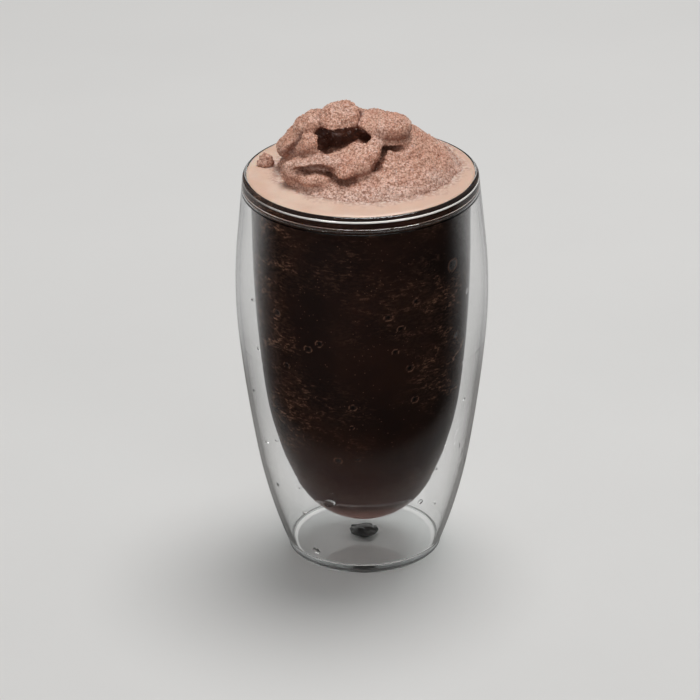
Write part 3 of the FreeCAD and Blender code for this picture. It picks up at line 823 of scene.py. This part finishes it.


# %% [markdown]
# ## From distances to a mesh
#
# OpenVDB, which comes with Blender, lays a skin of even quads through the grid where the distance is zero.
# The same grid tells how sheltered each point of the skin is: a point is sheltered where slush stands close
# in front of it. Steep sides are added to it, and the finish uses it as an attribute to paint shade, a deep
# brown, on sheltered places and steep sides.

# %% Skin
SLUSH_CELL = 0.42              # mm between the points of the grid
GRID_LOW, GRID_HIGH = (-40.0, -33.0, -1.0), (40.0, 40.0, 29.0)
FLAT_FOOT = 0.1                # underside of the slush above the crest of the rim, inside the froth


def slush_grids():
    """Distances to the crown, the peak lump and the crumb, on one grid, in millimetres."""
    axes = [np.arange(low, high, SLUSH_CELL, dtype=np.float32) for low, high in zip(GRID_LOW, GRID_HIGH)]
    x, y, z = np.meshgrid(*axes, indexing="ij", sparse=True)
    bumps = unevenness(x, y, z)
    grids = {
        "slush_heap": sculpt(heap(x, y, z), CROWN, x, y, z) + bumps * np.clip(z / 4.0, 0, 1),
        "slush_peak": sculpt(1e3, PEAK, x, y, z) + bumps,
        "slush_crumb": sculpt(1e3, CRUMB, x, y, z) + bumps * 0.5,
    }
    foot = FLAT_FOOT - z
    return {name: np.maximum(grid, foot).astype(np.float32) for name, grid in grids.items()}


def skin(name, grid):
    """A mesh of quads through the zero of a grid of distances."""
    volume_grid = openvdb.FloatGrid(5.0)
    volume_grid.copyFromArray(grid)
    points, quads = volume_grid.convertToQuads(0.0)
    made = mesh_object(name, (points * SLUSH_CELL + np.array(GRID_LOW) + (0, 0, RIM_CREST)) * MM, quads)
    face_outwards(made)
    return made


def largest_body(obj):
    """Deletes all loose islands of a mesh but the largest."""
    work = bmesh.new()
    work.from_mesh(obj.data)
    left, bodies = set(work.verts), []
    while left:
        front = {left.pop()}
        bodies.append(list(front))
        while front:
            front = {edge.other_vert(vertex) for vertex in front for edge in vertex.link_edges} & left
            left -= front
            bodies[-1] += front
    for body in sorted(bodies, key=len)[:-1]:
        bmesh.ops.delete(work, geom=body, context="VERTS")
    work.to_mesh(obj.data)
    work.free()
    return len(bodies) - 1


def read_grid(grid, points):
    """The grid's value at points, in millimetres from the crest of the rim, between its cells."""
    place = (points - np.array(GRID_LOW)) / SLUSH_CELL
    place = np.clip(place, 0, np.array(grid.shape) - 1.001)
    low = place.astype(int)
    part = place - low
    value = 0.0
    for corner in np.ndindex(2, 2, 2):
        share = np.prod(np.where(np.array(corner) == 1, part, 1 - part), axis=1)
        value = value + share * grid[tuple((low + corner).T)]
    return value


def shelter(mesh, grid):
    """How much painted shade each point gets: 0 on open slush, towards 1 in hollows, under overhangs and on
    steep sides; the deep hollow counts in full.
    """
    points = places(mesh) / MM - (0, 0, RIM_CREST)
    out = places(mesh, "normal")
    shut = 0.0
    for reach in (2.0, 4.0, 8.0):
        for lean in ((0, 0, 0), (0, 0, 0.8)):
            way = out + np.array(lean)
            way /= np.linalg.norm(way, axis=1, keepdims=True) + 1e-9
            shut = shut + np.clip(1 - read_grid(grid, points + way * reach) / reach, 0, 1.5) / 6
    deep = np.minimum(*(lump(*points.T, *cut[1:7]) for cut in (DEEP_HOLLOW, HOLLOW_END)))
    in_hollow = np.clip(1 - deep / 0.9, 0, 1) * np.clip((shut - 0.2) * 2.5, 0, 1)
    # steep sides count as sheltered, so they get painted shade too
    steep = np.clip((0.45 - out[:, 2]) / 0.8, 0, 1)
    return np.clip(np.minimum(0.55 * shut + 0.44 * steep, 0.54) + 0.44 * in_hollow, 0, 1)


grids = slush_grids()
all_slush = np.minimum.reduce(list(grids.values()))
slush = {}
for name, grid in grids.items():
    slush[name] = skin(name, grid)
    dropped = largest_body(slush[name])
    add_attribute(slush[name].data, "shelter", shelter(slush[name].data, all_slush))
    print(name, len(slush[name].data.polygons), "quads, islands dropped:", dropped)

# %% [markdown]
# ## Grain in the slush
#
# Slush is packed ice crystals about a millimetre across, in lumps a few millimetres across. A bump in the
# finish alone would leave the outline smooth, so a Geometry Nodes tree pushes the skin in and out: by a
# lumpy noise, by rounded Voronoi cells for the crystals, and by a finer noise on them.

# %% Slush relief
def roughen(obj, material):
    tree = GeometryTree(obj.name + "_grain", {"Crystal": 0.00026, "Fine": 0.00016, "Lump": 0.0030})
    place = tree.node("GeometryNodeInputPosition")
    normal = tree.node("GeometryNodeInputNormal")
    crystal = tree.ramp(tree.cells(place, 950.0), 0.05, 0.75, 1.0, 0.0)
    fine = tree.noise(place, 1700.0, 2.0)
    lumps = tree.noise(place, 260.0, 4.0, 0.55)
    height = (crystal - 0.55) * tree.number("Crystal") + (fine - 0.5) * tree.number("Fine") \
        + (lumps - 0.5) * tree.number("Lump")
    tree.run(obj, tree.pushed(tree.scaled(normal, height)), material)
    obj.data.shade_smooth()


# %% [markdown]
# ## The slush's colour
#
# Packed ice is speckled pale and dark, and is frosted where it lies open and thin. Hollows and steep sides
# are darkened to a deep brown as painted shade. The specks come from the same kind of cells as the relief,
# and the shelter attribute mixes in the painted shade colour.

# %% Slush finish
FROSTED_FOOT = 0.1490, 0.1545     # metres; the foot of the heap is frosted up to between these heights
LESS_SHADE_BELOW = 0.1495, 0.1545        # and gets less painted shade than the rest


def slush_finish():
    material, tree, place = new_material("icy_slush")
    shade_share = tree.painted("shelter")
    height = tree.part(place, "Z")
    tone = tree.noise(place, 150.0, 3.0, 0.6)
    body = tree.mix(tree.ramp(tone, 0.34, 0.68), srgb(214, 157, 133), srgb(231, 182, 159))
    patch = tree.ramp(tree.noise(place, 85.0, 3.0), 0.50, 0.66)
    foot = tree.ramp(height, *FROSTED_FOOT, 1.0, 0.0)
    frost = patch * 0.35 + foot * 0.45
    body = tree.mix(frost * (1 - shade_share), body, srgb(232, 206, 194))
    grain = tree.cells(place, 1350.0)
    speck = tree.noise(place, 2100.0, 1.0)
    body = tree.mix(tree.ramp(grain + (speck - 0.5) * 0.5, 0.46, 0.72) * 0.64, body, srgb(134, 84, 62))
    body = tree.mix(tree.ramp(grain + (speck - 0.5) * 0.4, 0.14, 0.28, 0.50, 0.0), body, srgb(250, 226, 208))
    # painted shade: sheltered hollows, overhangs and steep sides are mixed towards a deep brown, less so at
    # the foot
    painted_shade = tree.ramp(shade_share, 0.12, 0.74, 0.0, 0.92) * tree.ramp(height, *LESS_SHADE_BELOW, 0.45, 1.0)
    body = tree.mix(painted_shade, body, srgb(98, 47, 28))
    surface = principled(tree, Base_Color=body, Roughness=tree.ramp(speck, 0.3, 0.7, 0.62, 0.34),
                         Subsurface_Weight=0.08, Subsurface_Radius=(0.0012, 0.0006, 0.0004),
                         Subsurface_Scale=1.0, Coat_Weight=0.10, Coat_Roughness=0.2,
                         Normal=tree.bump(0 - grain + speck * 0.6, 0.00022, 0.6))
    return finished(material, tree, surface)


icy = slush_finish()
for piece in slush.values():
    roughen(piece, icy)
    print(piece.name, "triangles:", len(triangles(piece.data)))

# %% [markdown]
# ## Loose ice grains
#
# Fresh slush is dusted with loose ice grains that catch the light and fray its outline. They are scattered
# over the skin by Distribute Points on Faces, thinner in sheltered hollows, each a squashed ball of twenty
# faces with its own size, turn and tint. Thousands of copied objects would do the same far more slowly.

# %% Ice grains
def ice_grains(name, source, material, density):
    grains = mesh_object(name, [], [])
    tree = GeometryTree(name + "_scatter", {
        "Density": density, "Smallest": 0.00013, "Largest": 0.00032, "Seed": 7})
    info = tree.node("GeometryNodeObjectInfo", {"Object": source}, transform_space="ORIGINAL")
    upward = tree.part(tree.node("GeometryNodeInputNormal"), "Z")
    open_air = tree.ramp(tree.stored("shelter"), 0.20, 0.50, 1.0, 0.1) * (upward > -0.6)
    points = tree.node("GeometryNodeDistributePointsOnFaces", {
        "Mesh": info.out("Geometry"), "Density": tree.number("Density") * open_air,
        "Seed": tree.number("Seed")})
    ball = tree.node("GeometryNodeMeshIcoSphere", {"Radius": 1.0, "Subdivisions": 1})
    size = tree.random(tree.number("Smallest"), tree.number("Largest"), 1)
    squash = tree.random((0.7, 0.7, 0.6), (1.3, 1.1, 1.0), 2)
    turn = tree.random((0.0, 0.0, 0.0), (6.28, 6.28, 6.28), 3)
    placed = tree.node("GeometryNodeInstanceOnPoints", {
        "Points": points, "Instance": ball, "Rotation": turn, "Scale": tree.scaled(squash, size)})
    tinted = tree.node("GeometryNodeStoreNamedAttribute", {
        "Geometry": placed, "Name": "tint", "Value": tree.random(0.0, 1.0, 4)},
        data_type="FLOAT", domain="INSTANCE")
    tree.run(grains, tinted, material)
    print(name, "grains:", len(grains.data.polygons) // 20, "triangles:", len(triangles(grains.data)))
    return grains


def grain_finish():
    material, tree, place = new_material("ice_grain")
    tint = tree.painted("tint")
    colour = tree.node("ShaderNodeValToRGB", {"Fac": tint}, stops=[
        (0.0, srgb(164, 108, 84)), (0.35, srgb(206, 154, 130)),
        (0.75, srgb(230, 188, 166)), (1.0, srgb(248, 226, 210))])
    speck = tree.noise(place, 3000.0, 1.0)
    surface = principled(tree, Base_Color=colour, Roughness=tree.ramp(speck, 0.3, 0.7, 0.20, 0.45),
                         Subsurface_Weight=0.15, Subsurface_Radius=(0.001, 0.0006, 0.0004),
                         Subsurface_Scale=1.0, Coat_Weight=0.2, Coat_Roughness=0.1)
    return finished(material, tree, surface)


grain_material = grain_finish()
grains = ice_grains("ice_grains", slush["slush_heap"], grain_material, 0.6e6)
peak_grains = ice_grains("peak_grains", slush["slush_peak"], grain_material, 0.9e6)

# %% [markdown]
# ## The bright line under the rim
#
# Just under the rim a fine bright line of light runs round the glass. A lamp placed just so could make it for
# one view; here it is a painted highlight instead: a thin ring of pale colour, set in the wall at that place
# and brightest towards the front right, shows it from all round.

# %% Seam
HIGHLIGHT_RADIUS, HIGHLIGHT_HEIGHT = 42.16, 146.35
HIGHLIGHT_HALF_WIDTH, HIGHLIGHT_HALF_HEIGHT = 0.24, 0.36
HIGHLIGHT_TURNS = 240
HIGHLIGHT_BRIGHTEST_TOWARDS = (11.0, -20.0, 0.0)      # the painted highlight is brightest towards the front right


def rim_highlight_finish():
    material, tree, place = new_material("fused_seam")
    flow = tree.noise(place, 60.0, 2.0)
    lit = tree.ramp(tree.vector("DOT_PRODUCT", place, HIGHLIGHT_BRIGHTEST_TOWARDS).out("Value"), -0.2, 0.95)
    # painted highlight: near white towards the front right, grey away from it
    colour = tree.mix(lit * tree.ramp(flow, 0.3, 0.7, 0.8, 1.0), srgb(96, 88, 84), srgb(250, 247, 243))
    surface = principled(tree, Base_Color=colour, Roughness=tree.ramp(flow, 0.3, 0.7, 0.15, 0.30))
    return finished(material, tree, surface)


def make_rim_highlight(material):
    around = np.radians(np.arange(0, 361, 20))
    outline = [(HIGHLIGHT_RADIUS + HIGHLIGHT_HALF_WIDTH * math.cos(a), HIGHLIGHT_HEIGHT + HIGHLIGHT_HALF_HEIGHT * math.sin(a))
               for a in around]
    return lathe("rim_seam", outline, material, HIGHLIGHT_TURNS)


rim_highlight = make_rim_highlight(rim_highlight_finish())

# %% [markdown]
# ## Drops on the glass
#
# The cold glass has gathered a few clear drops. Each is a flattened cap that clings to the outer wall. The
# drops in front have their own places; the tree turns every one to face out of the wall and sets its size.

# %% Drops
# direction in degrees from the front, to the right; height; radius, in millimetres
FRONT_DROPS = [
    (-29, 26.8, 2.2), (42, 27.0, 1.1), (-36, 8.0, 1.6), (-72, 104.0, 0.8), (-68, 95.0, 0.6),
    (-66, 70.0, 0.6), (-58, 33.0, 0.8), (-50, 21.0, 0.8), (63, 21.5, 0.7), (-44, 29.0, 0.5),
    (50, 40.0, 0.6), (70, 66.0, 0.5),
]


def wall_points(drops):
    """Places on the outer wall, with the size and the outward direction of each drop."""
    radii, heights = wall_outline("glass")
    found = []
    for degrees, height, size in drops:
        a = math.radians(degrees)
        r = np.interp(height, heights, radii)
        slope = (np.interp(height + 1, heights, radii) - np.interp(height - 1, heights, radii)) / 2
        out = Vector((math.sin(a), -math.cos(a), -slope)).normalized()
        found.append(((r * math.sin(a) * MM, -r * math.cos(a) * MM, height * MM), size * MM, out))
    return found


def back_drops(count, seed):
    random = np.random.default_rng(seed)
    return [(random.uniform(85, 275), random.uniform(8, 120), random.uniform(0.4, 1.2))
            for _ in range(count)]


def make_drops(material):
    spots = wall_points(FRONT_DROPS + back_drops(12, 3))
    drops = mesh_object("water_drops", [place for place, _, _ in spots], [])
    add_attribute(drops.data, "size", [size for _, size, _ in spots])
    facing = drops.data.attributes.new("facing", "FLOAT_VECTOR", "POINT")
    facing.data.foreach_set("vector", [v for _, _, out in spots for v in out])
    tree = GeometryTree("drops_on_wall", {"Flatness": 0.60, "Rings": 12, "Segments": 20})
    ball = tree.node("GeometryNodeMeshUVSphere", {
        "Radius": 1.0, "Segments": tree.number("Segments"), "Rings": tree.number("Rings")})
    flat = tree.node("ShaderNodeCombineXYZ", {"X": 1.0, "Y": 1.0, "Z": tree.number("Flatness")})
    cap = tree.node("GeometryNodeTransform", {"Geometry": ball, "Scale": flat})
    turn = tree.node("FunctionNodeAlignRotationToVector",
                     {"Vector": tree.stored("facing", "FLOAT_VECTOR")}, axis="Z")
    points = tree.node("GeometryNodeMeshToPoints", {"Mesh": tree.geometry})
    placed = tree.node("GeometryNodeInstanceOnPoints", {
        "Points": points, "Instance": cap, "Rotation": turn, "Scale": tree.stored("size")})
    smooth = tree.node("GeometryNodeSetShadeSmooth", {"Geometry": tree.node(
        "GeometryNodeRealizeInstances", {"Geometry": placed})})
    return tree.run(drops, smooth, material)


def water_finish():
    material, tree, place = new_material("clear_water")
    ripple = tree.noise(place, 800.0, 1.0)
    surface = clear_surface(tree, (0.97, 0.97, 0.97), IOR=1.33, Roughness=0.0,
                            Normal=tree.bump(ripple, 0.00005, 0.3))
    return finished(material, tree, surface)


drops = make_drops(water_finish())
print("drops:", len(drops.data.polygons), "faces")

# %% [markdown]
# ## The vent plug
#
# The base of a double-walled glass is closed with a small silicone plug, poured into the vent hole and set
# as a slightly lopsided blob. It is turned on the same lathe, then pushed out of round by noise. Its stem
# reaches a hair into the glass, as the drink does.

# %% Plug
PLUG_STEM, PLUG_BUTTON, PLUG_KNOB = 2.6, 5.3, 2.6      # radii, mm
PLUG_TURNS = 72
PLUG_LOPSIDED_FROM = 0.0034, 0.0046     # metres; the stem below stays round


def plug_finish():
    material, tree, place = new_material("dark_silicone")
    cloudy = tree.noise(place, 500.0, 2.0)
    colour = tree.mix(cloudy, srgb(3, 3, 3), srgb(12, 12, 12))
    surface = principled(tree, Base_Color=colour, Roughness=tree.ramp(cloudy, 0.3, 0.7, 0.05, 0.14),
                         Specular_IOR_Level=0.22, Normal=tree.bump(cloudy, 0.0012, 0.9))
    return finished(material, tree, surface)


def make_plug(material):
    """A stem in the vent hole, a button on the floor of the hollow wall, and a small knob on that."""
    stem = [(0.0, 0.45), (PLUG_STEM - 0.4, 0.45), (PLUG_STEM, 0.8), (PLUG_STEM, 3.12)]
    button = [(PLUG_BUTTON * math.cos(a), 4.25 + 1.2 * math.sin(a))
              for a in np.radians(np.arange(-70, 31, 10))]
    knob = [(PLUG_KNOB * math.cos(a) + 0.2, 4.75 + 0.85 * math.sin(a))
            for a in np.radians(np.arange(10, 81, 10))]
    made = lathe("plug", stem + button + knob + [(0.0, 5.55)], material, PLUG_TURNS)
    tree = GeometryTree("plug_relief", {"Lopsided": 0.0030})
    place = tree.node("GeometryNodeInputPosition")
    height = tree.part(place, "Z")
    push = tree.noise(place, 230.0)
    even = tree.vector("SUBTRACT", push.out("Color"), (0.5, 0.5, 0.5))
    amount = tree.ramp(height, *PLUG_LOPSIDED_FROM) * tree.number("Lopsided")
    tree.run(made, tree.pushed(tree.scaled(even, amount)), material)
    made.data.shade_smooth()
    return made


plug = make_plug(plug_finish())

# %% [markdown]
# ## What rides on what
#
# The whole serving is one body, and every piece rides on it. Six pieces stand for the CAD solid of the same
# thing. Grains, drops and the line under the rim have no solid of their own, and the glass keeps its node.

# %% Riders
STANDS_FOR = (
    (drink, "shake", "dark_shake"), (froth, "froth", "tan_froth"), (plug, "vent_plug", "dark_silicone"),
    (slush["slush_heap"], "slush_crown", "icy_slush"), (slush["slush_peak"], "peak_lump", "icy_slush"),
    (slush["slush_crumb"], "rim_crumb", "icy_slush"),
)
ON_ITS_OWN = (
    (grains, "icy_slush"), (peak_grains, "icy_slush"), (rim_highlight, "clear_glass"), (drops, "clear_glass"))

for piece, node, finish_slot in STANDS_FOR:
    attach(piece, "root")
    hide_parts(node)
for piece, finish_slot in ON_ITS_OWN:
    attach(piece, "root")
